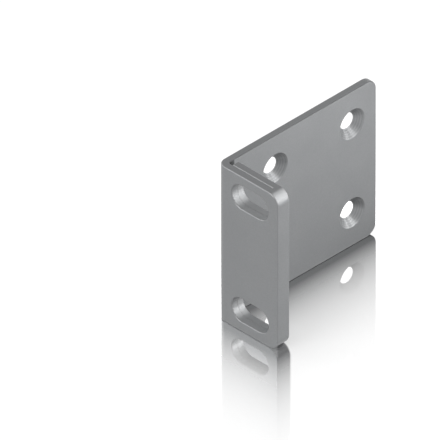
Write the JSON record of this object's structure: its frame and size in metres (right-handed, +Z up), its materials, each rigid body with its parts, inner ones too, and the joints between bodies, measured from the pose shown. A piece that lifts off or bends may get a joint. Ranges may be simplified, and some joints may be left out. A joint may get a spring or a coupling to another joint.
{
  "type": "rack mount ear bracket",
  "caption": "L-shaped rack ear folded from one steel sheet: a double-layer ear with level rack slots and a side plate with countersunk screw holes.",
  "frame": {"origin": "middle of the footprint, on the surface that the bracket stands on", "axes": "+X out along the ear, away from the equipment; +Y back along the side plate; +Z up"},
  "size_m": [0.0198, 0.05, 0.0435],
  "materials": {
    "sheet": "satin"
  },
  "bodies": {
    "root": {"ear_bracket": "sheet"}
  },
  "joints": []
}
